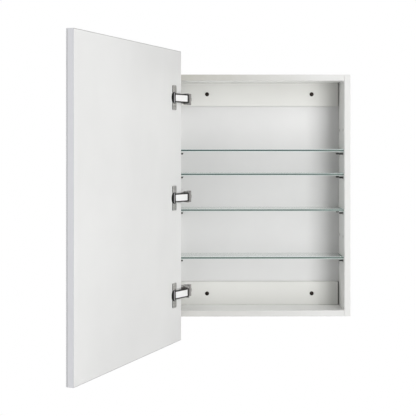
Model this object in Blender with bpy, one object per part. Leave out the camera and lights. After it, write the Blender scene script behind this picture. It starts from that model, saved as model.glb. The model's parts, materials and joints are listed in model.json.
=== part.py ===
"""Wall-hung medicine cabinet with a mirrored door on three concealed hinges.

Frame: +Z up, the open front faces -Y, the wall side is the plane Y = 0.
The origin is the centre of the wall side.  Built with the door standing open.
"""
import bmesh
import bpy
from math import atan2, cos, hypot, pi, radians, sin
from mathutils import Matrix, Vector

MM = 0.001

# Cabinet body
BODY_W = 472.0 * MM
BODY_H = 642.0 * MM
BODY_D = 120.0 * MM
BOARD = 16.0 * MM
JOINT_GAP = 0.2 * MM
BOARD_ROUND = 0.6 * MM
BACK_T = 6.0 * MM
RAIL_T = 8.0 * MM
RAIL_H = 63.5 * MM
RAIL_END_GAP = 1.6 * MM

# Wall screws through the rails
SCREW_X = 144.0 * MM
SCREW_Z = 274.0 * MM
SCREW_HEAD_R = 5.6 * MM
SCREW_HEAD_T = 2.6 * MM
SCREW_SHANK_R = 2.2 * MM
SCREW_HOLE_R = 2.7 * MM
SCREW_TIP_Y = -0.6 * MM
SCREW_POINT = 0.8 * MM
SCREW_RECESS = 0.9 * MM

# Shelf pin holes, supports and glass
PIN_PITCH = 31.75 * MM
PIN_ROWS = (5.5, 3.5, 1.5, -1.5, -3.5, -5.5)
SHELF_ROWS = (3.5, 1.5, -1.5, -5.5)
PIN_INSET_FRONT = 27.0 * MM
PIN_INSET_REAR = 26.0 * MM
PIN_HOLE_R = 2.6 * MM
PIN_HOLE_DEPTH = 10.0 * MM
SUPPORT_REACH = 10.5 * MM
SUPPORT_TOP = 5.7 * MM
SUPPORT_R = 2.9 * MM
SUPPORT_CHEEK = 3.0
SUPPORT_PLUG = 8.6 * MM
SUPPORT_PLUG_R = 2.3 * MM
SUPPORT_TIP_R = 1.7 * MM
SUPPORT_COLLAR_R = 3.9 * MM
SUPPORT_COLLAR = (0.3 * MM, 1.6 * MM)
GLASS_T = 6.0 * MM
GLASS_LIFT = 5.9 * MM
GLASS_SIDE_GAP = 1.6 * MM
GLASS_FRONT_GAP = 3.0 * MM
GLASS_REAR_GAP = 1.5 * MM

# Door
DOOR_W = 610.0 * MM
DOOR_H = 762.0 * MM
DOOR_BOARD_T = 15.8 * MM
DOOR_ROUND = 0.6 * MM
MIRROR_T = 3.0 * MM
MIRROR_INSET = 0.2 * MM
MIRROR_CHAMFER = 0.8 * MM
DOOR_OPEN = radians(111.0)
DOOR_SHUT_GAP = 6.0 * MM
DOOR_EDGE_X = 6.5 * MM
DOOR_EDGE_Y = -10.5 * MM

# Hinges
HINGE_ROWS = (257.0 * MM, -4.0 * MM, -257.0 * MM)
PIVOT_FROM_EDGE = 46.0 * MM
CUP_FROM_EDGE = 49.0 * MM
ARM_PIVOT_Y = 0.0 * MM
CUP_R = 17.4 * MM
CUP_INNER_R = 15.6 * MM
CUP_DEPTH = 11.4 * MM
CUP_FLOOR = 1.2 * MM
CUP_ROUND = 1.2 * MM
CUP_BORE_R = 17.7 * MM
CUP_BORE_DEPTH = 12.0 * MM
FLANGE_HALF_H = 32.2 * MM
FLANGE_HALF_W = 13.2 * MM
FLANGE_CORNER = 4.0 * MM
FLANGE_LOW = 0.2 * MM
FLANGE_HIGH = 1.4 * MM
CUP_SCREW_Z = 24.5 * MM
CUP_SCREW_HEAD_R = 3.6 * MM
CUP_SCREW_SHANK_R = 1.5 * MM
CUP_SCREW_HOLE_R = 1.9 * MM
CUP_SCREW_LENGTH = 10.5 * MM
LINK_T = 1.8 * MM
LINK_HALF_H = 11.5 * MM
LINK_SLOT_HALF_H = 12.4 * MM
KNUCKLE_R = 3.2 * MM
PIN_R = 1.5 * MM
PIN_BORE_R = 1.8 * MM
FORK_HALF_H = 13.8 * MM
FORK_SLOT_HALF_H = 11.9 * MM
FORK_R = 3.6 * MM
ARM_PIN_HALF = 14.2 * MM
CUP_PIN_HALF = 14.5 * MM

# Hinge arm and its plate, measured from the left wall and the front plane
ARM_BACK_Y = 80.0 * MM
ARM_BAR_X = (12.3 * MM, 21.5 * MM)
ARM_BAR_HALF_H = 9.0 * MM
ARM_HEAD_X = (20.0 * MM, 33.0 * MM)
ARM_HEAD_Y = (41.0 * MM, 60.0 * MM)
ARM_HEAD_HALF_H = 15.0 * MM
ARM_HEAD_ROUND = 1.5 * MM
ARM_FRONT_Y = 20.0 * MM
ARM_CRANK = 4.5 * MM
ARM_CRANK_Y = (24.0 * MM, 31.0 * MM)
ARM_BACK_CHAMFER = 3.0 * MM
ARM_SLIM_Y = 62.0 * MM
FORK_SLOT_BACK = 6.5 * MM
ARM_CUT_X = (8.0 * MM, 40.0 * MM)
PLATE_BASE_T = 2.2 * MM
PLATE_BASE_Y = (28.0 * MM, 46.0 * MM)
PLATE_HALF_H = 26.0 * MM
PLATE_BLOCK_Y = (22.0 * MM, 74.0 * MM)
PLATE_BLOCK_HALF_H = 11.0 * MM
PLATE_BASE_ROUND = 0.8 * MM
PLATE_BLOCK_ROUND = 1.2 * MM
PLATE_BOSS_Z = 19.0 * MM
PLATE_BOSS_R = 3.9 * MM
PLATE_BOSS_TOP_R = 2.6 * MM
PLATE_BOSS_RISE = (0.9 * MM, 1.7 * MM)
PLATE_GAP = 0.3 * MM

LEFT_WALL = -BODY_W / 2 + BOARD
FRONT = -BODY_D
ROUND_SEGMENTS = 32
SMALL_SEGMENTS = 12


def clear_scene():
    """Remove every object of the starting scene."""
    for item in list(bpy.data.objects):
        bpy.data.objects.remove(item, do_unlink=True)


def material(name, colour, roughness, metallic=0.0):
    """Make one Principled material."""
    mat = bpy.data.materials.new(name)
    mat.use_nodes = True
    shader = mat.node_tree.nodes["Principled BSDF"]
    shader.inputs["Base Color"].default_value = (*colour, 1.0)
    shader.inputs["Roughness"].default_value = roughness
    shader.inputs["Metallic"].default_value = metallic
    return mat


def make_object(name, bm, mat, smooth=False):
    """Turn a bmesh into a named object with one material."""
    bmesh.ops.recalc_face_normals(bm, faces=bm.faces)
    mesh = bpy.data.meshes.new(name)
    bm.to_mesh(mesh)
    bm.free()
    for face in mesh.polygons:
        face.use_smooth = smooth
    item = bpy.data.objects.new(name, mesh)
    bpy.context.scene.collection.objects.link(item)
    if mat:
        mesh.materials.append(mat)
    return item


def add_box(bm, low, high, matrix=None):
    """Add an axis-aligned box, optionally moved by a matrix."""
    made = bmesh.ops.create_cube(bm, size=1.0)["verts"]
    for vert in made:
        for axis in range(3):
            side = high[axis] if vert.co[axis] > 0 else low[axis]
            vert.co[axis] = side
        if matrix:
            vert.co = matrix @ vert.co


def box(name, low, high, mat, edge_round=0.0):
    """A box with small rounded edges."""
    bm = bmesh.new()
    add_box(bm, low, high)
    if edge_round:
        bmesh.ops.bevel(bm, geom=bm.edges[:], offset=edge_round, segments=2,
                        affect="EDGES", profile=0.5, clamp_overlap=True)
    return make_object(name, bm, mat)


def ring(bm, points):
    """Add a loop of vertices."""
    return [bm.verts.new(point) for point in points]


def bridge(bm, loops):
    """Skin a list of equal loops and cap both ends."""
    for lower, upper in zip(loops, loops[1:]):
        count = len(lower)
        for i in range(count):
            j = (i + 1) % count
            bm.faces.new((lower[i], lower[j], upper[j], upper[i]))
    bm.faces.new(list(reversed(loops[0])))
    bm.faces.new(loops[-1])


def turned(bm, outline, matrix, segments):
    """Turn an outline of (radius, height) pairs about the local Z axis."""
    loops = []
    for radius, height in outline:
        points = []
        for i in range(segments):
            angle = 2 * pi * i / segments
            point = Vector((radius * cos(angle), radius * sin(angle), height))
            points.append(matrix @ point)
        loops.append(ring(bm, points))
    bridge(bm, loops)


def prism(bm, outline, low, high, matrix=None):
    """Raise a plan outline of (x, y) points from low to high."""
    loops = []
    for height in (low, high):
        points = [Vector((x, y, height)) for x, y in outline]
        if matrix:
            points = [matrix @ point for point in points]
        loops.append(ring(bm, points))
    bridge(bm, loops)


def combine(target, tool, operation):
    """Join the tool to the target or cut it away, then remove the tool."""
    step = target.modifiers.new(operation.lower(), "BOOLEAN")
    step.operation = operation
    step.solver = "EXACT"
    step.object = tool
    graph = bpy.context.evaluated_depsgraph_get()
    shaped = bpy.data.meshes.new_from_object(target.evaluated_get(graph))
    target.modifiers.clear()
    shaped.name = target.name
    target.data = shaped
    bpy.data.objects.remove(tool, do_unlink=True)


def tool_of(bm):
    """Wrap a bmesh as a short-lived cutting or joining tool."""
    return make_object("tool", bm, None)


def along(axis_from, axis_to):
    """Matrix that stands local Z on the line between two points."""
    direction = (axis_to - axis_from).normalized()
    turn = Vector((0, 0, 1)).rotation_difference(direction).to_matrix().to_4x4()
    return Matrix.Translation(axis_from) @ turn


def set_origin(item, point):
    """Move the object's origin without moving its surface."""
    item.data.transform(Matrix.Translation(-point))
    item.location = point


def round_shading(item, limit=radians(35)):
    """Smooth shading that keeps the sharp edges sharp."""
    bm = bmesh.new()
    bm.from_mesh(item.data)
    for face in bm.faces:
        face.smooth = True
    for edge in bm.edges:
        edge.smooth = edge.calc_face_angle(0.0) < limit
    bm.to_mesh(item.data)
    bm.free()


# ---------------------------------------------------------------- hinge plan
def hinge_plan():
    """Plan positions of the hinge pivots with the door open and shut.

    The arm pivot is the point on the line ARM_PIVOT_Y that is equally far
    from both places of the cup pivot, so one rigid link serves both.
    """
    angle = 1.5 * pi - (DOOR_OPEN - pi / 2)
    along_door = Vector((cos(angle), sin(angle)))
    edge_open = Vector((LEFT_WALL + DOOR_EDGE_X, FRONT + DOOR_EDGE_Y))
    cup_open = edge_open + along_door * PIVOT_FROM_EDGE
    cup_shut = Vector((-DOOR_W / 2 + PIVOT_FROM_EDGE, FRONT - DOOR_SHUT_GAP))
    middle = (cup_open + cup_shut) / 2
    span = cup_shut - cup_open
    arm_y = FRONT + ARM_PIVOT_Y
    arm_x = middle.x - (arm_y - middle.y) * span.y / span.x
    arm = Vector((arm_x, arm_y))
    return {
        "edge": edge_open, "along": along_door, "cup": cup_open,
        "cup_shut": cup_shut, "arm": arm, "angle": angle,
    }


PLAN = hinge_plan()


def door_matrix():
    """Local X runs along the open door, local Y out of its inner face."""
    along_door = PLAN["along"]
    inward = Vector((-along_door.y, along_door.x))
    matrix = Matrix.Identity(4)
    matrix.col[0] = (along_door.x, along_door.y, 0, 0)
    matrix.col[1] = (inward.x, inward.y, 0, 0)
    matrix.col[3] = (PLAN["edge"].x, PLAN["edge"].y, 0, 1)
    return matrix


DOOR = door_matrix()


# ------------------------------------------------------------------- cabinet
def side_panel(name, side, mat):
    """One side board with its two columns of shelf pin holes."""
    outer = side * BODY_W / 2
    inner = side * (BODY_W / 2 - BOARD)
    low = (min(outer, inner), FRONT, -BODY_H / 2)
    high = (max(outer, inner), 0, BODY_H / 2)
    panel = box(name, low, high, mat, BOARD_ROUND)
    bm = bmesh.new()
    for depth in (FRONT + PIN_INSET_FRONT, -PIN_INSET_REAR):
        for row in PIN_ROWS:
            centre = Vector((inner, depth, row * PIN_PITCH))
            inside = centre + Vector((side, 0, 0)) * PIN_HOLE_DEPTH
            outside = centre - Vector((side, 0, 0)) * MM
            length = PIN_HOLE_DEPTH + MM
            outline = ((PIN_HOLE_R, 0), (PIN_HOLE_R, length))
            turned(bm, outline, along(outside, inside), SMALL_SEGMENTS)
    combine(panel, tool_of(bm), "DIFFERENCE")
    return panel


def bored(item, holes, length, radius):
    """Cut round holes that run toward the wall through a board."""
    bm = bmesh.new()
    for start in holes:
        end = start + Vector((0, length, 0))
        outline = ((radius, 0), (radius, length))
        turned(bm, outline, along(start, end), SMALL_SEGMENTS)
    combine(item, tool_of(bm), "DIFFERENCE")


def cabinet_boards(white, warm, cool):
    """Sides, top, bottom, back and the two hanging rails."""
    side_panel("side_panel_left", -1, white)
    side_panel("side_panel_right", 1, white)
    half_w = BODY_W / 2 - BOARD - JOINT_GAP
    half_h = BODY_H / 2
    inner_z = half_h - BOARD
    box("top_panel", (-half_w, FRONT, inner_z), (half_w, 0, half_h),
        white, BOARD_ROUND)
    box("bottom_panel", (-half_w, FRONT, -half_h), (half_w, 0, -inner_z),
        white, BOARD_ROUND)
    back_z = inner_z - JOINT_GAP
    back = box("back_panel", (-half_w, -BACK_T, -back_z),
               (half_w, 0, back_z), cool, 0.3 * MM)
    rail_y = (-BACK_T - JOINT_GAP - RAIL_T, -BACK_T - JOINT_GAP)
    rail_x = (-half_w, half_w - RAIL_END_GAP)
    top_z = (inner_z - RAIL_H, back_z)
    for name, zs, level in (
        ("mounting_rail_top", top_z, SCREW_Z),
        ("mounting_rail_bottom", (-top_z[1], -top_z[0]), -SCREW_Z),
    ):
        rail = box(name, (rail_x[0], rail_y[0], zs[0]),
                   (rail_x[1], rail_y[1], zs[1]), warm, 0.5 * MM)
        start_y = rail_y[0] - MM
        starts = [Vector((x, start_y, level)) for x in (-SCREW_X, SCREW_X)]
        bored(rail, starts, RAIL_T + 2 * MM, SCREW_HOLE_R)
        bored(back, starts, RAIL_T + BACK_T + 3 * MM, SCREW_HOLE_R)
    return rail_y[0]


def wall_screws(rail_face, mat):
    """Four pan-head screws through the rails."""
    dome = (
        (SCREW_SHANK_R * 0.6, 0.0),
        (SCREW_SHANK_R, SCREW_POINT),
        (SCREW_SHANK_R, -rail_face),
        (SCREW_HEAD_R, -rail_face + 0.2 * MM),
        (SCREW_HEAD_R * 0.97, -rail_face + SCREW_HEAD_T * 0.45),
        (SCREW_HEAD_R * 0.78, -rail_face + SCREW_HEAD_T * 0.85),
        (SCREW_HEAD_R * 0.4, -rail_face + SCREW_HEAD_T),
        (SCREW_HEAD_R * 0.34, -rail_face + SCREW_HEAD_T - SCREW_RECESS),
    )
    places = (("top_left", -1, 1), ("top_right", 1, 1),
              ("bottom_left", -1, -1), ("bottom_right", 1, -1))
    for label, sx, sz in places:
        tip = Vector((sx * SCREW_X, SCREW_TIP_Y, sz * SCREW_Z))
        toward = tip + Vector((0, -1, 0))
        bm = bmesh.new()
        turned(bm, dome, along(tip, toward), 24)
        screw = make_object("wall_screw_" + label, bm, mat)
        round_shading(screw)
        set_origin(screw, tip)


def support_loop(radius, flat_top, distance, side):
    """One cross-section of a shelf support: round, or raised to a flat top."""
    points = []
    for i in range(SMALL_SEGMENTS):
        angle = 2 * pi * i / SMALL_SEGMENTS
        across = radius * cos(angle)
        height = radius * sin(angle)
        if flat_top and height > 0:
            height = min(height * SUPPORT_CHEEK, flat_top)
        points.append((-side * distance, across, height))
    return points


def shelf_support(name, side, depth, level, mat):
    """A metal plug-in support with a collar and a flat pad under the glass."""
    collar_start, collar_end = SUPPORT_COLLAR
    sections = (
        (SUPPORT_TIP_R, None, -SUPPORT_PLUG),
        (SUPPORT_PLUG_R, None, -SUPPORT_PLUG + 0.6 * MM),
        (SUPPORT_PLUG_R, None, collar_start),
        (SUPPORT_COLLAR_R, SUPPORT_TOP, collar_start),
        (SUPPORT_COLLAR_R, SUPPORT_TOP, collar_end),
        (SUPPORT_R, SUPPORT_TOP, collar_end + 0.3 * MM),
        (SUPPORT_R, SUPPORT_TOP, SUPPORT_REACH - 0.7 * MM),
        (SUPPORT_R * 0.75, SUPPORT_TOP - 0.5 * MM, SUPPORT_REACH),
    )
    bm = bmesh.new()
    loops = []
    for radius, flat_top, distance in sections:
        loops.append(ring(bm, support_loop(radius, flat_top, distance, side)))
    bridge(bm, loops)
    item = make_object(name, bm, mat)
    round_shading(item, radians(40))
    item.location = (side * (BODY_W / 2 - BOARD), depth, level)


def shelves(glass, metal):
    """Four glass shelves, each on four supports."""
    half_x = BODY_W / 2 - BOARD - GLASS_SIDE_GAP
    front = FRONT + GLASS_FRONT_GAP
    rear = -BACK_T - GLASS_REAR_GAP
    columns = (("front", FRONT + PIN_INSET_FRONT), ("rear", -PIN_INSET_REAR))
    for number, row in enumerate(SHELF_ROWS, start=1):
        level = row * PIN_PITCH
        low = (-half_x, front, level + GLASS_LIFT)
        high = (half_x, rear, level + GLASS_LIFT + GLASS_T)
        box(f"glass_shelf_{number}", low, high, glass, 0.5 * MM)
        for column, depth in columns:
            for label, side in (("left", -1), ("right", 1)):
                name = f"shelf_support_{number}_{column}_{label}"
                shelf_support(name, side, depth, level, metal)


# ---------------------------------------------------------------------- door
def door_panel(mat):
    """The door board with its hinge bores and screw pilot holes."""
    bm = bmesh.new()
    low = (0, -DOOR_BOARD_T, -DOOR_H / 2)
    high = (DOOR_W, 0, DOOR_H / 2)
    add_box(bm, low, high)
    bmesh.ops.bevel(bm, geom=bm.edges[:], offset=DOOR_ROUND, segments=2,
                    affect="EDGES", profile=0.5, clamp_overlap=True)
    bmesh.ops.transform(bm, matrix=DOOR, verts=bm.verts)
    door = make_object("door_panel", bm, mat)
    bm = bmesh.new()
    for level in HINGE_ROWS:
        add_bore(bm, level, CUP_BORE_R, CUP_BORE_DEPTH, 0.0, ROUND_SEGMENTS)
        for offset in (-CUP_SCREW_Z, CUP_SCREW_Z):
            add_bore(bm, level, CUP_SCREW_HOLE_R, CUP_BORE_DEPTH, offset,
                     SMALL_SEGMENTS)
    combine(door, tool_of(bm), "DIFFERENCE")


def add_bore(bm, level, radius, depth, offset, segments):
    """A round cutter square to the door's inner face."""
    top = DOOR @ Vector((CUP_FROM_EDGE, 2 * MM, level + offset))
    floor = DOOR @ Vector((CUP_FROM_EDGE, -depth, level + offset))
    outline = ((radius, 0), (radius, depth + 2 * MM))
    turned(bm, outline, along(top, floor), segments)


def mirror(mat):
    """The mirror sheet that covers the outer face of the door."""
    near = -DOOR_BOARD_T - JOINT_GAP
    far = near - MIRROR_T
    bm = bmesh.new()
    loops = []
    for depth, inset in ((near, MIRROR_INSET), (far + MIRROR_CHAMFER, MIRROR_INSET),
                         (far, MIRROR_INSET + MIRROR_CHAMFER)):
        x_ends = (inset, DOOR_W - inset)
        z_ends = (-DOOR_H / 2 + inset, DOOR_H / 2 - inset)
        corners = ((x_ends[0], z_ends[0]), (x_ends[1], z_ends[0]),
                   (x_ends[1], z_ends[1]), (x_ends[0], z_ends[1]))
        points = [DOOR @ Vector((x, depth, z)) for x, z in corners]
        loops.append(ring(bm, points))
    bridge(bm, loops)
    make_object("mirror_glass", bm, mat)


# -------------------------------------------------------------------- hinges
def flange_outline():
    """Outline of the cup flange: an upright plate with rounded corners."""
    points = []
    for quarter, (sx, sy) in enumerate(((1, 1), (-1, 1), (-1, -1), (1, -1))):
        for i in range(4):
            angle = quarter * pi / 2 + i * pi / 6
            points.append((
                sx * (FLANGE_HALF_W - FLANGE_CORNER) + FLANGE_CORNER * cos(angle),
                sy * (FLANGE_HALF_H - FLANGE_CORNER) + FLANGE_CORNER * sin(angle)))
    return points


def hinge_cup(name, level, mat):
    """A pressed cup with an upright flange, slotted across for the link."""
    # Local Z of this matrix points out of the door's inner face.
    centre = DOOR @ Vector((CUP_FROM_EDGE, 0, level))
    matrix = DOOR.copy()
    matrix.col[1] = (0, 0, 1, 0)
    matrix.col[2] = DOOR.col[1]
    matrix.translation = centre
    bm = bmesh.new()
    prism(bm, flange_outline(), FLANGE_LOW, FLANGE_HIGH, matrix)
    cup = make_object(name, bm, mat)
    bm = bmesh.new()
    outline = ((CUP_R - CUP_ROUND, -CUP_DEPTH), (CUP_R, -CUP_DEPTH + CUP_ROUND),
               (CUP_R, (FLANGE_LOW + FLANGE_HIGH) / 2))
    turned(bm, outline, matrix, ROUND_SEGMENTS)
    combine(cup, tool_of(bm), "UNION")
    bm = bmesh.new()
    outline = ((CUP_INNER_R - MM, -CUP_DEPTH + CUP_FLOOR),
               (CUP_INNER_R, -CUP_DEPTH + CUP_FLOOR + MM),
               (CUP_INNER_R, 3 * MM))
    turned(bm, outline, matrix, ROUND_SEGMENTS)
    combine(cup, tool_of(bm), "DIFFERENCE")
    bm = bmesh.new()
    add_box(bm, (-CUP_BORE_R, -LINK_SLOT_HALF_H, -0.4 * MM),
            (CUP_BORE_R, LINK_SLOT_HALF_H, 3 * MM), matrix)
    combine(cup, tool_of(bm), "DIFFERENCE")
    bm = bmesh.new()
    for offset in (-CUP_SCREW_Z, CUP_SCREW_Z):
        place = matrix @ Matrix.Translation((0, offset, -MM))
        outline = ((CUP_SCREW_HOLE_R, 0), (CUP_SCREW_HOLE_R, 4 * MM))
        turned(bm, outline, place, SMALL_SEGMENTS)
    combine(cup, tool_of(bm), "DIFFERENCE")
    round_shading(cup)
    set_origin(cup, centre)


def cup_screw(name, level, mat):
    """A wood screw that holds one wing of a cup."""
    seat = FLANGE_HIGH + 0.2 * MM
    tip = DOOR @ Vector((CUP_FROM_EDGE, seat - CUP_SCREW_LENGTH, level))
    toward = DOOR @ Vector((CUP_FROM_EDGE, 1.0, level))
    head = CUP_SCREW_LENGTH
    outline = (
        (CUP_SCREW_SHANK_R * 0.5, 0),
        (CUP_SCREW_SHANK_R, 1.5 * MM),
        (CUP_SCREW_SHANK_R, head),
        (CUP_SCREW_HEAD_R, head + 0.1 * MM),
        (CUP_SCREW_HEAD_R * 0.9, head + 0.9 * MM),
        (CUP_SCREW_HEAD_R * 0.5, head + 1.3 * MM),
        (CUP_SCREW_HEAD_R * 0.42, head + 0.7 * MM),
    )
    bm = bmesh.new()
    turned(bm, outline, along(tip, toward), SMALL_SEGMENTS)
    item = make_object(name, bm, mat)
    round_shading(item)
    set_origin(item, tip)


def upright(bm, plan_point, radius, low, high, segments=SMALL_SEGMENTS):
    """Add an upright round bar."""
    place = Matrix.Translation((plan_point.x, plan_point.y, 0))
    turned(bm, ((radius, low), (radius, high)), place, segments)


def hinge_link(name, level, mat):
    """The flat swinging link with a rolled knuckle at each end."""
    arm = PLAN["arm"]
    cup = PLAN["cup"]
    along_link = (cup - arm).normalized()
    across = Vector((-along_link.y, along_link.x)) * LINK_T / 2
    low = level - LINK_HALF_H
    high = level + LINK_HALF_H
    corners = [arm + across, cup + across, cup - across, arm - across]
    bm = bmesh.new()
    prism(bm, [(p.x, p.y) for p in corners], low, high)
    link = make_object(name, bm, mat)
    for point in (arm, cup):
        bm = bmesh.new()
        upright(bm, point, KNUCKLE_R, low, high, 24)
        combine(link, tool_of(bm), "UNION")
    bm = bmesh.new()
    for point in (arm, cup):
        upright(bm, point, PIN_BORE_R, low - MM, high + MM)
    combine(link, tool_of(bm), "DIFFERENCE")
    round_shading(link)
    set_origin(link, Vector((arm.x, arm.y, level)))


def hinge_pin(name, plan_point, level, half, mat):
    """A plain steel pin."""
    bm = bmesh.new()
    upright(bm, plan_point, PIN_R, level - half, level + half)
    pin = make_object(name, bm, mat)
    round_shading(pin)
    set_origin(pin, Vector((plan_point.x, plan_point.y, level)))


def arm_plan():
    """Plan outline of the cranked arm, with its round fork end."""
    arm = PLAN["arm"]
    x_low = LEFT_WALL + ARM_BAR_X[0]
    x_high = LEFT_WALL + ARM_BAR_X[1]
    points = []
    for i in range(13):
        angle = radians(200) + radians(180) * i / 12
        points.append((arm.x + FORK_R * cos(angle), arm.y + FORK_R * sin(angle)))
    points.append((x_high + ARM_CRANK, FRONT + ARM_CRANK_Y[0]))
    points.append((x_high, FRONT + ARM_CRANK_Y[1]))
    points.append((x_high, FRONT + ARM_BACK_Y - ARM_BACK_CHAMFER))
    points.append((x_high - ARM_BACK_CHAMFER, FRONT + ARM_BACK_Y))
    points.append((x_low, FRONT + ARM_BACK_Y))
    points.append((x_low, FRONT + ARM_FRONT_Y))
    return points


def hinge_arm(name, level, mat):
    """The fixed arm: a forked front, a slim bar and a taller clip head."""
    arm = PLAN["arm"]
    bm = bmesh.new()
    prism(bm, arm_plan(), level - FORK_HALF_H, level + FORK_HALF_H)
    item = make_object(name, bm, mat)
    bm = bmesh.new()
    add_box(bm,
            (LEFT_WALL + ARM_HEAD_X[0], FRONT + ARM_HEAD_Y[0], level - ARM_HEAD_HALF_H),
            (LEFT_WALL + ARM_HEAD_X[1], FRONT + ARM_HEAD_Y[1], level + ARM_HEAD_HALF_H))
    bmesh.ops.bevel(bm, geom=bm.edges[:], offset=ARM_HEAD_ROUND, segments=2,
                    affect="EDGES", profile=0.5)
    combine(item, tool_of(bm), "UNION")
    bm = bmesh.new()
    cut_x = [LEFT_WALL + x for x in ARM_CUT_X]
    slot_back = FRONT + ARM_PIVOT_Y + FORK_SLOT_BACK
    add_box(bm, (cut_x[0], FRONT - 8 * MM, level - FORK_SLOT_HALF_H),
            (cut_x[1], slot_back, level + FORK_SLOT_HALF_H))
    for sign in (-1, 1):
        edge = level + sign * ARM_BAR_HALF_H
        far = level + sign * (FORK_HALF_H + 2 * MM)
        add_box(bm, (cut_x[0], FRONT + ARM_SLIM_Y, min(edge, far)),
                (cut_x[1], FRONT + ARM_BACK_Y + 10 * MM, max(edge, far)))
    combine(item, tool_of(bm), "DIFFERENCE")
    bm = bmesh.new()
    upright(bm, arm, PIN_BORE_R, level - 20 * MM, level + 20 * MM)
    combine(item, tool_of(bm), "DIFFERENCE")
    round_shading(item, radians(30))
    set_origin(item, Vector((arm.x, arm.y, level)))


def mounting_plate(name, level, mat):
    """The plate on the left wall that carries an arm."""
    start = LEFT_WALL + PLATE_GAP
    bm = bmesh.new()
    add_box(bm, (start, FRONT + PLATE_BASE_Y[0], level - PLATE_HALF_H),
            (start + PLATE_BASE_T, FRONT + PLATE_BASE_Y[1], level + PLATE_HALF_H))
    bmesh.ops.bevel(bm, geom=bm.edges[:], offset=PLATE_BASE_ROUND, segments=2,
                    affect="EDGES", profile=0.5)
    plate = make_object(name, bm, mat)
    bm = bmesh.new()
    add_box(bm, (start, FRONT + PLATE_BLOCK_Y[0], level - PLATE_BLOCK_HALF_H),
            (LEFT_WALL + ARM_BAR_X[0] - PLATE_GAP, FRONT + PLATE_BLOCK_Y[1],
             level + PLATE_BLOCK_HALF_H))
    bmesh.ops.bevel(bm, geom=bm.edges[:], offset=PLATE_BLOCK_ROUND, segments=2,
                    affect="EDGES", profile=0.5)
    combine(plate, tool_of(bm), "UNION")
    bm = bmesh.new()
    for sign in (-1, 1):
        middle = FRONT + sum(PLATE_BASE_Y) / 2
        centre = Vector((start, middle, level + sign * PLATE_BOSS_Z))
        place = along(centre, centre + Vector((1, 0, 0)))
        outline = ((PLATE_BOSS_R, MM),
                   (PLATE_BOSS_R, PLATE_BASE_T + PLATE_BOSS_RISE[0]),
                   (PLATE_BOSS_TOP_R, PLATE_BASE_T + PLATE_BOSS_RISE[1]))
        turned(bm, outline, place, SMALL_SEGMENTS)
    combine(plate, tool_of(bm), "UNION")
    round_shading(plate, radians(30))
    set_origin(plate, Vector((start, FRONT + PLATE_BASE_Y[0], level)))


def hinges(steel, pin_steel, screw_steel):
    """Three complete hinges."""
    for label, level in zip(("top", "middle", "bottom"), HINGE_ROWS):
        hinge_cup(f"hinge_cup_{label}", level, steel)
        hinge_link(f"hinge_link_{label}", level, steel)
        hinge_arm(f"hinge_arm_{label}", level, steel)
        mounting_plate(f"hinge_mounting_plate_{label}", level, steel)
        hinge_pin(f"arm_pin_{label}", PLAN["arm"], level, ARM_PIN_HALF, pin_steel)
        hinge_pin(f"cup_pin_{label}", PLAN["cup"], level, CUP_PIN_HALF, pin_steel)
        for place, offset in (("upper", CUP_SCREW_Z), ("lower", -CUP_SCREW_Z)):
            cup_screw(f"cup_screw_{label}_{place}", level + offset, screw_steel)


def report_plan():
    """Print the joint positions for the record."""
    arm = PLAN["arm"]
    cup = PLAN["cup"]
    shut = PLAN["cup_shut"]
    open_turn = atan2(cup.y - arm.y, cup.x - arm.x)
    shut_turn = atan2(shut.y - arm.y, shut.x - arm.x)
    reach = hypot(cup.x - arm.x, cup.y - arm.y)
    link_turn = (open_turn - shut_turn + pi) % (2 * pi) - pi
    door_turn = DOOR_OPEN + link_turn
    print("arm pivot", arm, "cup pivot", cup, "link length", reach)
    print("link turn", link_turn, "door over link", door_turn)


def build():
    clear_scene()
    white = material("cabinet_white", (0.83, 0.83, 0.82), 0.5)
    warm = material("rail_white", (0.78, 0.77, 0.73), 0.6)
    cool = material("back_white", (0.80, 0.80, 0.79), 0.6)
    door_white = material("door_white", (0.86, 0.86, 0.85), 0.5)
    silver = material("mirror_silver", (0.92, 0.93, 0.93), 0.03, 1.0)
    glass = material("shelf_glass", (0.72, 0.86, 0.80), 0.05)
    steel = material("hinge_nickel", (0.70, 0.70, 0.70), 0.28, 1.0)
    pin_steel = material("pin_steel", (0.45, 0.45, 0.46), 0.35, 1.0)
    support_metal = material("support_metal", (0.22, 0.22, 0.22), 0.4, 1.0)
    screw_steel = material("screw_steel", (0.30, 0.28, 0.27), 0.4, 1.0)
    rail_face = cabinet_boards(white, warm, cool)
    wall_screws(rail_face, screw_steel)
    shelves(glass, support_metal)
    door_panel(door_white)
    mirror(silver)
    hinges(steel, pin_steel, screw_steel)
    report_plan()


build()
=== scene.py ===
"""Studio view of the wall-hung medicine cabinet, standing open."""

import json
import bmesh
import bpy
from math import cos, pi, radians, sin
from mathutils import Matrix, Vector


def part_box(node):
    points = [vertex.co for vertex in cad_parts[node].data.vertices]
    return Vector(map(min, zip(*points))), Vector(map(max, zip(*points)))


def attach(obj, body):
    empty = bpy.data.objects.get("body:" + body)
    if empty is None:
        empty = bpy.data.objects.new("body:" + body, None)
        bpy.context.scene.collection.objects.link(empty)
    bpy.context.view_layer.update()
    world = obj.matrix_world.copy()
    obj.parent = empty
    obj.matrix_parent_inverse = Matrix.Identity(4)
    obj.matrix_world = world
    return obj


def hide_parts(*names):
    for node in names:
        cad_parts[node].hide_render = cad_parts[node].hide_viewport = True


MM = 0.001

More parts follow.
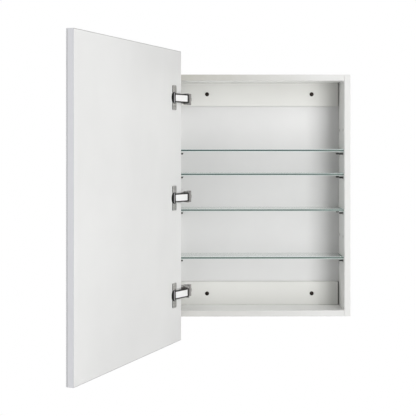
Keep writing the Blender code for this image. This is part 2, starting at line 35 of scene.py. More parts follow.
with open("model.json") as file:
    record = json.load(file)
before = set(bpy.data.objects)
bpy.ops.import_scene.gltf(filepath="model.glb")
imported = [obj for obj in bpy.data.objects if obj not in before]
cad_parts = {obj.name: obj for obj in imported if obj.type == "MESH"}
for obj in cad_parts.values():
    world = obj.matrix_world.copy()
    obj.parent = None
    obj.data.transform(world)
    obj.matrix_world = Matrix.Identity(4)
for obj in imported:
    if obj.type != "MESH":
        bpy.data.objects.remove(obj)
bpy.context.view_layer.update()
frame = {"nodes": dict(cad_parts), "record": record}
record = frame["record"]

# Camera: metres and radians, with lens and sensor in millimetres
CAMERA_PLACE = (-0.1729, -2.9895, 0.1283)
CAMERA_TURN = 0.0106
CAMERA_FOCAL = 93.60
SENSOR = 36.0
CAMERA_DROP = -0.1461

# Studio: floor, backdrop and two soft lights
FLOOR_Z = -1.25
FLOOR_SIZE = 4.4
WORLD_SEEN = 1.0
WORLD_LIGHT_BELOW = 0.45
WORLD_LIGHT_ABOVE = 0.28
WORLD_FADE_HALF = 0.35
KEY_PLACE = (1.42, -2.76, -0.1)
KEY_TARGET = (0, -0.1, 0)
KEY_SIZE = (1.5, 6.0)
KEY_POWER = 107.0
FILL_PLACE = (-1.3, 3.0, 1.3)
FILL_TARGET = (-0.1, 0, 0)
FILL_SIZE = (2.4, 2.4)
FILL_POWER = 55.0

# Base colours of the boards and of their edge bands
CABINET_WHITE = (0.93, 0.93, 0.915)
# Top and bottom boards: a lighter copy of the board white, painted light on the inner
# ceiling and floor
LIT_LEVEL_WHITE = (0.975, 0.975, 0.96)
BACK_WHITE = (0.80, 0.80, 0.795)
RAIL_WHITE = (0.80, 0.80, 0.77)
DOOR_WHITE = (0.86, 0.86, 0.85)
# Front edge bands: their own tint, made darker as painted shade where the key light falls
# on them
FRONT_TINT = (0.785, 0.785, 0.77)
# Door edge band: its own faint blue, made lighter as painted light on an edge the lamps
# miss
BAND_TINT = (0.94, 0.945, 0.98)

# Plan of the open door and of the hinges
DOOR_OPEN = radians(111.0)
DOOR_HALF_H = 381.0 * MM
PIVOT_FROM_EDGE = 46.0 * MM
CUP_FROM_EDGE = 49.0 * MM
CUP_SCREW_SEAT = 1.6 * MM
CUP_SCREW_HEAD_R = 3.6 * MM
LINK_T = 1.8 * MM
KNUCKLE_R = 3.2 * MM
PLATE_SCREW_FROM_FRONT = 37.0 * MM
PLATE_SCREW_RISE = 19.0 * MM
ARM_BAR_FACE = 21.5 * MM
ARM_HEAD_FACE = 33.0 * MM
COVER_START = 4.0 * MM
COVER_HALF_H = 8.2 * MM
COVER_CORNER = 1.2 * MM
SCREW_SIDES = 32

# Screws of an arm: name, distance behind the cabinet front, face they sit on, radius
ARM_SCREWS = (("side", 35.8 * MM, ARM_BAR_FACE, 3.0 * MM),
              ("cam", 50.5 * MM, ARM_HEAD_FACE, 4.6 * MM),
              ("depth", 70.0 * MM, ARM_BAR_FACE, 3.4 * MM))

# Shelf pin holes: height of the rows and depth of the two columns
PIN_FIRST_ROW = 47.625 * MM
PIN_ROW_STEP = 63.5 * MM
PIN_LAST_ROW = 174.625 * MM
PIN_COLUMN_MIDDLE = -59.5 * MM
PIN_COLUMN_HALF = 33.5 * MM

JOINTS = {joint["name"]: joint for joint in record["behaviour"]["joints"]}
ARM_PIVOT = Vector(JOINTS["link_swing"]["pos_m"][:2])
CUP_PIVOT = Vector(JOINTS["door_swing"]["pos_m"][:2])
DOOR_HEADING = 1.5 * pi - (DOOR_OPEN - pi / 2)
DOOR_ALONG = Vector((cos(DOOR_HEADING), sin(DOOR_HEADING), 0))
DOOR_INWARD = Vector((-DOOR_ALONG.y, DOOR_ALONG.x, 0))
DOOR_EDGE = Vector((*CUP_PIVOT, 0)) - DOOR_ALONG * PIVOT_FROM_EDGE
LEFT_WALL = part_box("side_panel_left")[1].x
RIGHT_WALL = -LEFT_WALL
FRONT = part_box("side_panel_left")[0].y
RAIL_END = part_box("mounting_rail_top")[1].x
ROWS = ("top", "middle", "bottom")


# ---------------------------------------------------------------- node tools
class Nodes:
    """Small helper that builds one material's node tree."""

    def __init__(self, name):
        self.mat = bpy.data.materials.new(name)
        self.mat.use_nodes = True
        self.tree = self.mat.node_tree
        self.shader = self.tree.nodes["Principled BSDF"]
        texture = self.tree.nodes.new("ShaderNodeTexCoord")
        self.coords = texture.outputs["Object"]
        self.normal = texture.outputs["Normal"]
        self.share = texture.outputs["Generated"]

    def add(self, kind):
        """A new node of this kind."""
        return self.tree.nodes.new(kind)

    def link(self, source, target):
        """Join an output to an input."""
        self.tree.links.new(source, target)

    def set(self, name, value):
        """Set a constant on the shader's own socket."""
        self.shader.inputs[name].default_value = value

    def mapped(self, scale=(1, 1, 1), turn=(0, 0, 0)):
        """Object coordinates, scaled and turned."""
        node = self.add("ShaderNodeMapping")
        node.inputs["Scale"].default_value = scale
        node.inputs["Rotation"].default_value = turn
        self.link(self.coords, node.inputs["Vector"])
        return node.outputs["Vector"]

    def axes(self, vector):
        """The three numbers of a vector."""
        node = self.add("ShaderNodeSeparateXYZ")
        self.link(vector, node.inputs[0])
        return node.outputs

    def reach(self, vector, direction, start=(0, 0, 0)):
        """How far a vector's end lies along a direction from a start point."""
        minus = self.add("ShaderNodeVectorMath")
        minus.operation = "SUBTRACT"
        self.link(vector, minus.inputs[0])
        minus.inputs[1].default_value = start
        dot = self.add("ShaderNodeVectorMath")
        dot.operation = "DOT_PRODUCT"
        self.link(minus.outputs[0], dot.inputs[0])
        dot.inputs[1].default_value = direction
        return dot.outputs["Value"]

    def noise(self, scale, detail=4.0, rough=0.5, vector=None, warp=0.0):
        """A noise value between about 0 and 1."""
        node = self.add("ShaderNodeTexNoise")
        node.inputs["Scale"].default_value = scale
        node.inputs["Detail"].default_value = detail
        node.inputs["Roughness"].default_value = rough
        node.inputs["Distortion"].default_value = warp
        self.link(vector or self.coords, node.inputs["Vector"])
        return node.outputs["Fac"]

    def ramp(self, value, stops):
        """Colour ramp from (place, colour) stops."""
        node = self.add("ShaderNodeValToRGB")
        band = node.color_ramp
        band.interpolation = "EASE"
        while len(band.elements) < len(stops):
            band.elements.new(0.5)
        for element, (place, colour) in zip(band.elements, stops):
            element.position = place
            element.color = (*colour, 1.0)
        self.link(value, node.inputs["Fac"])
        return node.outputs["Color"]

    def spread(self, value, low, high, start=0.0, end=1.0):
        """Map a value from start..end to low..high."""
        node = self.add("ShaderNodeMapRange")
        node.inputs["From Min"].default_value = start
        node.inputs["From Max"].default_value = end
        node.inputs["To Min"].default_value = low
        node.inputs["To Max"].default_value = high
        self.link(value, node.inputs["Value"])
        return node.outputs["Result"]

    def stripe(self, value, rise, fall):
        """1 between a rising and a falling soft edge, each a (start, end) pair."""
        return self.times(self.spread(value, 0.0, 1.0, *rise),
                          self.spread(value, 1.0, 0.0, *fall))

    def mix(self, factor, first, second):
        """Mix two colours, each a socket or a tuple."""
        node = self.add("ShaderNodeMix")
        node.data_type = "RGBA"
        self.feed(factor, node.inputs[0])
        self.feed(first, node.inputs[6])
        self.feed(second, node.inputs[7])
        return node.outputs[2]

    def maths(self, kind, first, second=0.0):
        """One maths node on two sockets or numbers."""
        node = self.add("ShaderNodeMath")
        node.operation = kind
        self.feed(first, node.inputs[0])
        self.feed(second, node.inputs[1])
        return node.outputs[0]

    def times(self, first, second):
        """Product of two values."""
        return self.maths("MULTIPLY", first, second)

    def plus(self, first, second):
        """Sum of two values."""
        return self.maths("ADD", first, second)

    def bump(self, height, strength, distance):
        """Normal of a finely uneven surface."""
        node = self.add("ShaderNodeBump")
        node.inputs["Strength"].default_value = strength
        node.inputs["Distance"].default_value = distance
        self.link(height, node.inputs["Height"])
        return node.outputs["Normal"]

    def feed(self, value, socket):
        """Link a socket, or set a number or colour as a constant."""
        if isinstance(value, (int, float)):
            socket.default_value = value
        elif isinstance(value, tuple):
            socket.default_value = (*value, 1.0)
        else:
            self.link(value, socket)

    def finish(self, colour, roughness, normal=None):
        """Feed the shader's colour, roughness and normal."""
        self.feed(colour, self.shader.inputs["Base Color"])
        self.feed(roughness, self.shader.inputs["Roughness"])
        if normal:
            self.link(normal, self.shader.inputs["Normal"])
        return self.mat


def shaded(colour, factor):
    """The same colour, darker or lighter."""
    return tuple(channel * factor for channel in colour)


# ----------------------------------------------------------------- materials
def melamine(n, colour, rough, swing=0.03):
    """Tone, roughness and bump of white melamine board.

    It has a very fine pebble, a faint cloudy tone and wiped handling marks.
    """
    cloud = n.noise(3.2, 3.0, 0.55)
    tone = n.ramp(cloud, ((0.30, shaded(colour, 0.95)), (0.72, colour)))
    smear = n.noise(9.0, 5.0, 0.6, n.mapped((1.0, 1.0, 0.35)), 1.2)
    marks = n.spread(smear, 0.0, 1.0, 0.52, 0.74)
    tone = n.mix(n.times(marks, 0.08), tone, shaded(colour, 0.88))
    specks = n.spread(n.noise(420.0, 2.0, 0.5), 0.0, 1.0, 0.74, 0.80)
    tone = n.mix(n.times(specks, 0.25), tone, shaded(colour, 0.62))
    pebble = n.noise(900.0, 2.0, 0.5)
    fine = n.noise(240.0, 3.0, 0.55)
    roughness = n.plus(n.spread(smear, rough - swing, rough + swing, 0.3, 0.75),
                       n.spread(pebble, -swing, swing))
    normal = n.bump(n.plus(pebble, fine), 0.08, 0.00008)
    n.set("IOR", 1.48)
    return tone, roughness, normal


def pin_hole_shade(n, place):
    """Rises to 1 around the shelf pin holes on a side board's inner face: painted shade."""
    rise = n.maths("ABSOLUTE", place["Z"])
    step = n.maths("PINGPONG", n.plus(rise, -PIN_FIRST_ROW), PIN_ROW_STEP / 2)
    column = n.maths("ABSOLUTE", n.plus(place["Y"], -PIN_COLUMN_MIDDLE))
    across = n.plus(column, -PIN_COLUMN_HALF)
    gap = n.maths("SQRT", n.plus(n.times(step, step), n.times(across, across)))
    inside = n.spread(rise, 1.0, 0.0, PIN_LAST_ROW + 10 * MM, PIN_LAST_ROW + 12 * MM)
    sideways = n.maths("ABSOLUTE", place["X"])
    inner = n.spread(sideways, 1.0, 0.0, RIGHT_WALL + 2 * MM, RIGHT_WALL + 4 * MM)
    return n.times(n.times(n.spread(gap, 1.0, 0.0, 3.4 * MM, 6.0 * MM), inside), inner)


def painted_corner_shade(n, place, tone, colour, amount):
    """Painted shade in the right corner, a little darker toward the top."""
    dust_and_shade = n.spread(place["X"], 0.0, amount, RIGHT_WALL - 58 * MM, RIGHT_WALL - 8 * MM)
    higher = n.spread(place["Z"], 0.4, 1.6, -0.3, 0.3)
    return n.mix(n.times(dust_and_shade, higher), tone, shaded(colour, 0.42))


def rail_material(name, colour):
    """Rail board: painted shadow line at its open right end, painted shade in the corner.
    """
    n = Nodes(name)
    tone, roughness, normal = melamine(n, colour, 0.55, 0.01)
    place = n.axes(n.coords)
    tone = painted_corner_shade(n, place, tone, colour, 0.18)
    lower = n.spread(place["Z"], 0.95, 0.55, -50 * MM, 50 * MM)
    # Painted shadow line at the rail's right end, stronger on the lower rail
    line = n.spread(place["X"], 0.0, 1.0, RAIL_END - 2.2 * MM, RAIL_END - 1.4 * MM)
    tone = n.mix(n.times(line, lower), tone, (0.04, 0.04, 0.035))
    return n.finish(tone, roughness, normal)


def board_material(name, colour, rough=0.29, tint=None, hinge_edge_shade=0.0, light_fade=0.0,
                   holes=False, corner_shade=0.0):
    """Melamine board whose front edge carries a band with its own tint.

    The band's glue line shows just behind the edge. The other arguments paint
    shade: patchy along the front edge toward the hinge side, over the whole
    board there, in and around the shelf pin holes, and in the right corner.
    """
    n = Nodes(name)
    tone, roughness, normal = melamine(n, colour, rough, 0.01)
    place = n.axes(n.coords)
    if holes:
        # Painted shade in and around the shelf pin holes
        wear_and_shade = n.times(pin_hole_shade(n, place), 0.75)
        tone = n.mix(wear_and_shade, tone, (0.20, 0.19, 0.18))
    # Painted shade in the right corner
    if corner_shade:
        tone = painted_corner_shade(n, place, tone, colour, corner_shade)
    # Painted shade over the whole board toward the hinge side
    if light_fade:
        painted_hinge_shade = n.spread(place["X"], light_fade, 0.0, LEFT_WALL + 0.03, LEFT_WALL + 0.30)
        tone = n.mix(painted_hinge_shade, tone, shaded(colour, 0.5))
    to_front = n.spread(place["Y"], 1.0, 0.0, FRONT + 0.2 * MM, FRONT + 0.7 * MM)
    tone = n.mix(to_front, tone, tint or colour)
    line = n.stripe(place["Y"], (FRONT + 0.6 * MM, FRONT + 0.8 * MM),
                    (FRONT + 1.0 * MM, FRONT + 1.3 * MM))
    tone = n.mix(n.times(line, 0.30), tone, shaded(colour, 0.5))
    # Painted shade: a patchy darkening of the front edge toward the hinge side, which the
    # open door keeps from the light
    if hinge_edge_shade:
        near_hinge = n.spread(place["X"], hinge_edge_shade, 0.0, LEFT_WALL + 0.02, LEFT_WALL + 0.38)
        patchy = n.spread(n.noise(16.0, 4.0, 0.6), 0.7, 1.2, 0.3, 0.7)
        tone = n.mix(n.times(n.times(near_hinge, patchy), to_front), tone,
                     (0.50, 0.49, 0.44))
    return n.finish(tone, roughness, normal)


def door_material(name, colour, band):
    """The door board: white faces and a slightly blue edge band.

    A thin glue line shows at the band's joint, and the faces darken in a
    thin line along the top and bottom rim.
    """
    n = Nodes(name)
    tone, roughness, normal = melamine(n, colour, 0.42)
    facing = n.maths("ABSOLUTE", n.reach(n.normal, DOOR_INWARD))
    edge = n.spread(facing, 1.0, 0.0, 0.25, 0.75)
    depth = n.reach(n.coords, DOOR_INWARD, DOOR_EDGE)
    streak = n.noise(90.0, 3.0, 0.6, n.mapped((8.0, 8.0, 0.25)))
    banded = n.mix(n.spread(streak, 0.0, 0.5, 0.4, 0.75), band, shaded(band, 0.93))
    tone = n.mix(edge, tone, banded)
    seam = n.stripe(depth, (-1.7 * MM, -1.2 * MM), (-0.7 * MM, -0.3 * MM))
    tone = n.mix(n.times(n.times(seam, edge), 0.5), tone, shaded(band, 0.6))
    rise = n.maths("ABSOLUTE", n.axes(n.coords)["Z"])
    rim = n.spread(rise, 0.0, 0.8, DOOR_HALF_H - 2.0 * MM, DOOR_HALF_H - 1.2 * MM)
    tone = n.mix(n.times(rim, n.spread(edge, 1.0, 0.0)), tone, shaded(colour, 0.5))
    return n.finish(tone, roughness, normal)


def metal_base(n, colour, rough, wear_and_shade=0.25, grain=(1.0, 1.0, 30.0)):
    """Plated metal with drawn grain, tarnish spots and small scratches."""
    drawn = n.noise(260.0, 4.0, 0.6, n.mapped(grain))
    spots = n.noise(70.0, 4.0, 0.6, None, 0.8)
    dull = n.spread(spots, 0.0, 1.0, 0.50, 0.72)
    tone = n.mix(n.times(dull, wear_and_shade), colour, shaded(colour, 0.62))
    scratch = n.noise(600.0, 2.0, 0.7, n.mapped((1.0, 12.0, 1.0), (0.4, 0.2, 0.9)))
    cut = n.spread(scratch, 0.0, 1.0, 0.66, 0.74)
    roughness = n.plus(n.spread(drawn, rough - 0.07, rough + 0.09, 0.3, 0.7),
                       n.times(n.plus(dull, cut), 0.10))
    normal = n.bump(n.plus(drawn, n.times(cut, -0.6)), 0.14, 0.00008)
    return tone, roughness, normal


def metal_material(name, colour, rough, metallic=1.0, wear_and_shade=0.25):
    """Plain plated metal of one colour."""
    n = Nodes(name)
    tone, roughness, normal = metal_base(n, colour, rough, wear_and_shade)
    n.set("Metallic", metallic)
    return n.finish(tone, roughness, normal)


def cup_material(name, colour):
    """Hinge cup: a plated flange with a painted highlight strip and a well in painted
    shade.

    The flange's inner border is darkened with painted shade.
    """
    n = Nodes(name)
    tone, roughness, normal = metal_base(n, colour, 0.30)
    across = n.reach(n.coords, DOOR_ALONG, DOOR_EDGE)
    # Painted highlight: a bright strip across the flange
    painted_flange_highlight = n.stripe(across, (51 * MM, 53 * MM), (56 * MM, 58 * MM))
    tone = n.mix(n.times(painted_flange_highlight, 0.8), tone, (0.90, 0.90, 0.89))
    # Painted shade along the flange's inner border
    painted_border_shade = n.spread(across, 0.0, 0.75, 58 * MM, 60 * MM)
    tone = n.mix(painted_border_shade, tone, (0.10, 0.098, 0.095))
    depth = n.reach(n.coords, DOOR_INWARD, DOOR_EDGE)
    # Painted shade in the cup's well, below the door face
    well = n.spread(depth, 1.0, 0.0, -1.2 * MM, -0.1 * MM)
    tone = n.mix(well, tone, (0.035, 0.034, 0.032))
    n.set("Metallic", 0.9)
    return n.finish(tone, n.plus(roughness, n.times(well, 0.3)), normal)


def link_material(name):
    """Hinge link: near-black steel as painted shade, with a painted highlight on the cup
    knuckle.
    """
    n = Nodes(name)
    # Near-black: painted shade on the link's lugs and knuckles
    tone, roughness, normal = metal_base(n, (0.045, 0.043, 0.041), 0.42)
    side = n.axes(n.coords)["X"]
    # Painted highlight stripe on the cup knuckle
    stripe = n.stripe(side, (CUP_PIVOT.x - 2.7 * MM, CUP_PIVOT.x - 2.1 * MM),
                      (CUP_PIVOT.x, CUP_PIVOT.x + 0.6 * MM))
    tone = n.mix(stripe, tone, (0.66, 0.65, 0.67))
    n.set("Metallic", 0.7)
    return n.finish(tone, roughness, normal)


def support_material(name):
    """Plug-in support with painted reflections: dark sides, pale top, grey underside."""
    n = Nodes(name)
    # Near-black: the pin's dark reflection, painted
    tone, roughness, normal = metal_base(n, (0.02, 0.02, 0.02), 0.40)
    level = n.axes(n.share)["Z"]
    # Painted highlight on the top of the pin
    painted_top_highlight = n.spread(level, 0.0, 1.0, 0.56, 0.62)
    # Painted grey reflection on the underside
    painted_under_reflection = n.spread(level, 1.0, 0.0, 0.20, 0.30)
    tone = n.mix(painted_top_highlight, tone, (0.66, 0.67, 0.65))
    tone = n.mix(n.times(painted_under_reflection, 0.8), tone, (0.22, 0.21, 0.20))
    n.set("Metallic", 0.15)
    return n.finish(tone, roughness, normal)


def glass_material(name):
    """Shelf glass: clear pale faces and green ground edges.

    The faces turn to mirrors at a flat angle.  Along an edge the ground
    arrises at top and bottom carry painted pale mint highlights and the
    middle is dark.
    """
    n = Nodes(name)
    share = n.axes(n.share)
    upright = n.maths("ABSOLUTE", n.axes(n.normal)["Z"])
    flat = n.spread(upright, 0.0, 1.0, 0.80, 0.95)
    rear = n.spread(share["Y"], 0.0, 1.0, 0.96, 0.98)
    ripple = n.noise(120.0, 3.0, 0.6, n.mapped((1.0, 1.0, 8.0)))
    # Painted highlights: pale mint lines on the top and bottom arrises
    painted_mint_highlight = (0.90, 1.0, 0.96)
    edge = n.ramp(share["Z"],
                  ((0.0, painted_mint_highlight), (0.15, painted_mint_highlight), (0.23, (0.018, 0.060, 0.048)),
                   (0.77, (0.016, 0.055, 0.044)), (0.86, painted_mint_highlight), (1.0, painted_mint_highlight)))
    edge = n.mix(n.spread(ripple, 0.0, 0.12, 0.45, 0.75), edge, (0.10, 0.19, 0.16))
    edge = n.mix(rear, edge, (0.62, 0.74, 0.69))
    smear = n.noise(14.0, 4.0, 0.6, n.mapped((1.0, 2.5, 1.0)), 1.5)
    dust_and_shade = n.noise(500.0, 3.0, 0.6)
    haze = n.plus(n.spread(smear, 0.0, 0.03, 0.5, 0.8),
                  n.spread(dust_and_shade, 0.0, 0.06, 0.64, 0.8))
    tone = n.mix(flat, edge, (0.90, 0.96, 0.935))
    glare = n.add("ShaderNodeFresnel")
    glare.inputs["IOR"].default_value = 1.45
    face_alpha = n.plus(n.plus(0.02, haze), n.times(glare.outputs[0], 0.25))
    rim_alpha = n.spread(rear, 1.0, 0.12)
    alpha = n.plus(n.times(flat, face_alpha),
                   n.times(n.spread(flat, 1.0, 0.0), rim_alpha))
    n.feed(alpha, n.shader.inputs["Alpha"])
    n.set("IOR", 1.52)
    return n.finish(tone, n.plus(n.spread(flat, 0.30, 0.02), haze))


def mirror_material(name):
    """Silvered glass with faint smears and dust, and a darker polished rim."""
    n = Nodes(name)
    smear = n.noise(7.0, 5.0, 0.6, n.mapped((1.0, 1.0, 0.5)), 1.8)
    dust_and_shade = n.noise(700.0, 3.0, 0.6)
    roughness = n.plus(n.spread(smear, 0.01, 0.07, 0.45, 0.75),
                       n.spread(dust_and_shade, 0.0, 0.05, 0.62, 0.8))
    tone = n.mix(n.spread(smear, 0.0, 0.2, 0.5, 0.8), (0.90, 0.92, 0.915),
                 (0.80, 0.83, 0.82))
    facing = n.maths("ABSOLUTE", n.reach(n.normal, DOOR_INWARD))
    face = n.spread(facing, 0.0, 1.0, 0.85, 0.95)
    depth = n.reach(n.coords, DOOR_INWARD, DOOR_EDGE)
    outer = n.spread(depth, 1.0, 0.0, -18.4 * MM, -17.8 * MM)
    rim = n.mix(outer, (0.93, 0.94, 0.96), (0.26, 0.28, 0.29))
    tone = n.mix(face, rim, tone)
    n.feed(face, n.shader.inputs["Metallic"])
    return n.finish(tone, roughness)


def floor_material(name):
    """Plain pale studio floor."""
    n = Nodes(name)
    cloud = n.noise(1.2, 2.0, 0.5)
    tone = n.ramp(cloud, ((0.3, (0.86, 0.86, 0.86)), (0.7, (0.90, 0.90, 0.90))))
    return n.finish(tone, 0.9)


# Link covers: near-white and hardly metallic, their pale nickel lightened as a painted
# highlight
HIGHLIGHT_NICKEL = metal_material("pale nickel with painted highlight", (0.99, 0.985, 0.98), 0.34, 0.05, 0.03)
ARM_NICKEL = metal_material("arm nickel", (0.34, 0.33, 0.32), 0.32)
PIN_STEEL = metal_material("pin steel", (0.30, 0.30, 0.30), 0.32)
SCREW_METAL = metal_material("screw metal", (0.032, 0.023, 0.020), 0.45, 0.8)
SCREW_NICKEL = metal_material("nickel screw", (0.48, 0.47, 0.45), 0.30)

SLOT_MATERIALS = {
    "cabinet_white": board_material("side board", CABINET_WHITE, tint=FRONT_TINT,
                                    holes=True),
    # Back board: painted shade toward the hinge side and in the right corner
    "back_white": board_material("back board", BACK_WHITE, 0.5, light_fade=0.14, corner_shade=0.18),
    "rail_white": rail_material("rail board", RAIL_WHITE),
    "door_white": door_material("door board", DOOR_WHITE, BAND_TINT),
    "mirror_silver": mirror_material("mirror silver"),
    "shelf_glass": glass_material("shelf glass"),
    "hinge_nickel": ARM_NICKEL,
    "pin_steel": PIN_STEEL,
    "support_metal": support_material("plated support with painted reflections"),
    "screw_steel": SCREW_METAL,
}


def paint(name, mat):
    """Give one CAD node a scene material."""
    mesh = frame["nodes"][name].data
    mesh.materials.clear()
    mesh.materials.append(mat)


def paint_nodes():
    """Every CAD node takes its slot's material, then the special ones."""
    for part in record["subparts"]:
        paint(part["node"], SLOT_MATERIALS[part["material_slot"]])
    # Top and bottom boards: painted light in their lighter white, painted shade on the
    # front edge toward the hinge side
    top = board_material("top board", LIT_LEVEL_WHITE, 0.26, FRONT_TINT, hinge_edge_shade=0.9)
    bottom = board_material("bottom board", LIT_LEVEL_WHITE, 0.24, FRONT_TINT, hinge_edge_shade=0.4)
    paint("top_panel", top)
    paint("bottom_panel", bottom)
    cup = cup_material("hinge cup nickel", (0.46, 0.45, 0.44))
    link = link_material("link steel painted dark as shade")
    for row in ROWS:
        paint(f"hinge_cup_{row}", cup)
        paint(f"hinge_link_{row}", link)


# -------------------------------------------------------------- mesh helpers
def new_piece(name, bm, mat, body):
    """Finish a bmesh as a piece that rides on a body."""
    bmesh.ops.recalc_face_normals(bm, faces=bm.faces)
    mesh = bpy.data.meshes.new(name)
    bm.to_mesh(mesh)
    bm.free()
    mesh.materials.append(mat)
    for face in mesh.polygons:
        face.use_smooth = True
    mesh.set_sharp_from_angle(angle=radians(35))
    piece = bpy.data.objects.new(name, mesh)
    bpy.context.scene.collection.objects.link(piece)
    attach(piece, body)
    return piece


def soften(piece, width):
    """Round the sharp edges of a piece."""
    bevel = piece.modifiers.new("soften", "BEVEL")
    bevel.width = width
    bevel.segments = 2
    bevel.limit_method = "ANGLE"
    bevel.angle_limit = radians(40)


def skin(bm, loops):
    """Join equal loops of points in order and cap both ends."""
    rings = [[bm.verts.new(point) for point in loop] for loop in loops]
    for lower, upper in zip(rings, rings[1:]):
        for i in range(len(lower)):
            j = (i + 1) % len(lower)
            bm.faces.new((lower[i], lower[j], upper[j], upper[i]))
    bm.faces.new(list(reversed(rings[0])))
    bm.faces.new(rings[-1])


def upright_on(place, outward):
    """Matrix with its local Z along outward and its local Y as world up."""
    across = Vector((0, 0, 1)).cross(outward).normalized()
    matrix = Matrix.Identity(4)
    matrix.col[0] = (*across, 0)
    matrix.col[1] = (0, 0, 1, 0)
    matrix.col[2] = (*outward, 0)
    matrix.translation = place
    return matrix


def rounded_rect(half_w, half_h, corner, steps=5):
    """Outline of a rectangle with round corners."""
    points = []
    for quarter, (sx, sy) in enumerate(((1, 1), (-1, 1), (-1, -1), (1, -1))):
        for i in range(steps):
            angle = (quarter + i / (steps - 1)) * pi / 2
            points.append((sx * (half_w - corner) + corner * cos(angle),
                           sy * (half_h - corner) + corner * sin(angle)))
    return points


def raised(bm, outline, levels, matrix):
    """Stack an outline at several (height, scale) levels."""
    loops = []
    for height, scale in levels:
        loops.append([matrix @ Vector((x * scale, y * scale, height)) for x, y in outline])
    skin(bm, loops)


def cross_outline(reach, half_width):
    """Outline of a cross recess."""
    quarter = ((reach, -half_width), (reach, half_width), (half_width, half_width))
    points = []
    for turn in range(4):
        spin = Matrix.Rotation(turn * pi / 2, 2)
        points += [tuple(spin @ Vector(point)) for point in quarter]
    return points


def cut_out(piece, bm):
    """Cut a bmesh out of a piece and keep the result as its mesh."""
    mesh = bpy.data.meshes.new("cutter")
    bmesh.ops.recalc_face_normals(bm, faces=bm.faces)
    bm.to_mesh(mesh)
    bm.free()
    cutter = bpy.data.objects.new("cutter", mesh)
    bpy.context.scene.collection.objects.link(cutter)
    step = piece.modifiers.new("cut", "BOOLEAN")
    step.operation = "DIFFERENCE"
    step.object = cutter
    graph = bpy.context.evaluated_depsgraph_get()
    shaped = bpy.data.meshes.new_from_object(piece.evaluated_get(graph))
    piece.modifiers.clear()
    piece.data = shaped
    bpy.data.objects.remove(cutter, do_unlink=True)
    shaped.set_sharp_from_angle(angle=radians(35))


def cross_screw(name, place, outward, head, shank, turn, mat, body):
    """A pan-head screw with a cross recess; head and shank are (radius, height)."""
    radius, height = head
    matrix = upright_on(place, outward) @ Matrix.Rotation(turn, 4, "Z")
    profile = ((shank[0] * 0.5, -shank[1]), (shank[0], -shank[1] + shank[0]),
               (shank[0], -0.05 * MM), (radius * 0.96, 0.0), (radius, height * 0.12),
               (radius * 0.97, height * 0.42), (radius * 0.84, height * 0.74),
               (radius * 0.58, height * 0.93), (radius * 0.25, height))
    bm = bmesh.new()
    angles = [2 * pi * i / SCREW_SIDES for i in range(SCREW_SIDES)]
    circle = [(cos(angle), sin(angle)) for angle in angles]
    loops = [[matrix @ Vector((x * r, y * r, z)) for x, y in circle] for r, z in profile]
    skin(bm, loops)
    screw = new_piece(name, bm, mat, body)
    bm = bmesh.new()
    recess = cross_outline(radius * 0.52, radius * 0.12)
    raised(bm, recess, ((height * 0.42, 0.55), (height * 1.3, 1.15)), matrix)
    cut_out(screw, bm)
    return screw


# ------------------------------------------------------------- detail pieces
def hinge_level(row):
    """Height of the middle of a hinge."""
    low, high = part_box(f"hinge_link_{row}")
    return (low.z + high.z) / 2


def link_cover(row):
    """The bright pressed cover on the outer face of a hinge link."""
    run = Vector((*(ARM_PIVOT - CUP_PIVOT), 0))
    start = COVER_START
    end = run.length - KNUCKLE_R - 0.4 * MM
    heading = run.normalized()
    outward = heading.cross(Vector((0, 0, 1)))
    middle = Vector((*CUP_PIVOT, hinge_level(row))) + heading * (start + end) / 2
    matrix = upright_on(middle, outward)
    outline = rounded_rect((end - start) / 2, COVER_HALF_H, COVER_CORNER)
    low = LINK_T / 2 - 0.1 * MM
    bm = bmesh.new()
    raised(bm, outline, ((low, 1.0), (low + 0.7 * MM, 1.0), (low + 0.95 * MM, 0.97)),
           matrix)
    cover = new_piece(f"link_cover_{row}", bm, HIGHLIGHT_NICKEL, "hinge_links")
    soften(cover, 0.15 * MM)


def cup_screws(row):
    """Cross-recess screws in place of the plain ones of one cup."""
    for turn, label in enumerate(("upper", "lower")):
        node = f"cup_screw_{row}_{label}"
        low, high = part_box(node)
        seat = DOOR_EDGE + DOOR_ALONG * CUP_FROM_EDGE + DOOR_INWARD * CUP_SCREW_SEAT
        seat.z = (low.z + high.z) / 2
        screw = cross_screw(f"cup_cross_screw_{row}_{label}", seat, DOOR_INWARD,
                            (CUP_SCREW_HEAD_R, 1.3 * MM), (1.5 * MM, 10 * MM),
                            0.4 + 0.9 * turn, SCREW_NICKEL, "door")
        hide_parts(node)


def wall_screws():
    """Cross-recess screws in place of the plain ones in the rails."""
    for turn, corner in enumerate(("top_left", "top_right", "bottom_left", "bottom_right")):
        node = "wall_screw_" + corner
        low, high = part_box(node)
        rail_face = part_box("mounting_rail_top")[0].y
        centre = (low + high) / 2
        place = Vector((centre.x, rail_face - 0.2 * MM, centre.z))
        radius = (high.x - low.x) / 2
        screw = cross_screw("wall_cross_screw_" + corner, place, Vector((0, -1, 0)),
                            (radius, 2.4 * MM), (2.2 * MM, 14 * MM),
                            0.3 + 0.7 * turn, SCREW_METAL, "cabinet")
        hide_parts(node)


def plate_and_arm_screws(row):
    """The two screws of a mounting plate and the three of its arm."""
    level = hinge_level(row)
    outward = Vector((1, 0, 0))
    for label, sign in (("upper", 1), ("lower", -1)):
        place = Vector((LEFT_WALL + 2.4 * MM, FRONT + PLATE_SCREW_FROM_FRONT,
                        level + sign * PLATE_SCREW_RISE))
        cross_screw(f"plate_screw_{row}_{label}", place, outward, (4.3 * MM, 2.9 * MM),
                    (1.5 * MM, 1.0 * MM), 0.5 * sign, SCREW_NICKEL, "cabinet")
    for label, from_front, face, radius in ARM_SCREWS:
        place = Vector((LEFT_WALL + face - 0.1 * MM, FRONT + from_front, level))
        cross_screw(f"arm_{label}_screw_{row}", place, outward, (radius, 1.4 * MM),
                    (1.5 * MM, 1.0 * MM), 0.8, SCREW_NICKEL, "cabinet")


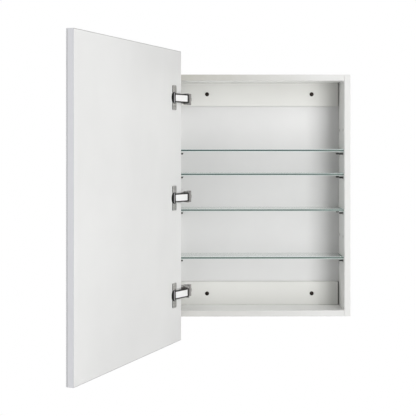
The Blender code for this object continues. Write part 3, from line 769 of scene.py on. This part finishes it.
def add_details():
    """Every piece that is finer than its CAD node, or has none."""
    for row in ROWS:
        link_cover(row)
        cup_screws(row)
        plate_and_arm_screws(row)
    wall_screws()


# ---------------------------------------------------------- stage and camera
def add_floor():
    """The pale plain floor below the hung cabinet."""
    bpy.ops.mesh.primitive_plane_add(size=FLOOR_SIZE, location=(0, 0, FLOOR_Z))
    floor = bpy.context.object
    floor.name = "floor"
    floor.data.materials.append(floor_material("studio floor"))


def add_area(name, place, target, size, power):
    """A soft oblong light that faces a point; size is (width, height)."""
    lamp = bpy.data.lights.new(name, "AREA")
    lamp.shape = "RECTANGLE"
    lamp.size, lamp.size_y = size
    lamp.energy = power
    item = bpy.data.objects.new(name, lamp)
    bpy.context.scene.collection.objects.link(item)
    item.location = place
    direction = Vector(target) - Vector(place)
    item.rotation_euler = direction.to_track_quat("-Z", "Y").to_euler()


def add_world():
    """A white backdrop that lights the object more softly than it looks.

    As in a studio, more of the soft light comes off the pale floor below.
    """
    world = bpy.data.worlds.new("studio")
    world.use_nodes = True
    tree = world.node_tree
    background = tree.nodes["Background"]
    background.inputs["Color"].default_value = (1, 1, 1, 1)
    way = tree.nodes.new("ShaderNodeTexCoord")
    parts = tree.nodes.new("ShaderNodeSeparateXYZ")
    tree.links.new(way.outputs["Generated"], parts.inputs[0])
    light_fade = tree.nodes.new("ShaderNodeMapRange")
    light_fade.interpolation_type = "SMOOTHSTEP"
    light_fade.inputs["From Min"].default_value = -WORLD_FADE_HALF
    light_fade.inputs["From Max"].default_value = WORLD_FADE_HALF
    light_fade.inputs["To Min"].default_value = WORLD_LIGHT_BELOW
    light_fade.inputs["To Max"].default_value = WORLD_LIGHT_ABOVE
    tree.links.new(parts.outputs["Z"], light_fade.inputs["Value"])
    path = tree.nodes.new("ShaderNodeLightPath")
    pick = tree.nodes.new("ShaderNodeMapRange")
    tree.links.new(light_fade.outputs["Result"], pick.inputs["To Min"])
    pick.inputs["To Max"].default_value = WORLD_SEEN
    tree.links.new(path.outputs["Is Camera Ray"], pick.inputs["Value"])
    tree.links.new(pick.outputs["Result"], background.inputs["Strength"])
    bpy.context.scene.world = world


def add_camera():
    """A level camera left of the middle, with its view shifted down."""
    data = bpy.data.cameras.new("camera")
    data.sensor_width = SENSOR
    data.lens = CAMERA_FOCAL
    data.shift_y = CAMERA_DROP
    data.clip_end = 50.0
    item = bpy.data.objects.new("camera", data)
    bpy.context.scene.collection.objects.link(item)
    item.location = CAMERA_PLACE
    item.rotation_euler = (pi / 2, 0, -CAMERA_TURN)
    bpy.context.scene.camera = item


paint_nodes()
add_details()
add_floor()
add_world()
add_camera()
add_area("key", KEY_PLACE, KEY_TARGET, KEY_SIZE, KEY_POWER)
add_area("rear fill", FILL_PLACE, FILL_TARGET, FILL_SIZE, FILL_POWER)
bpy.context.scene.view_settings.view_transform = "Standard"
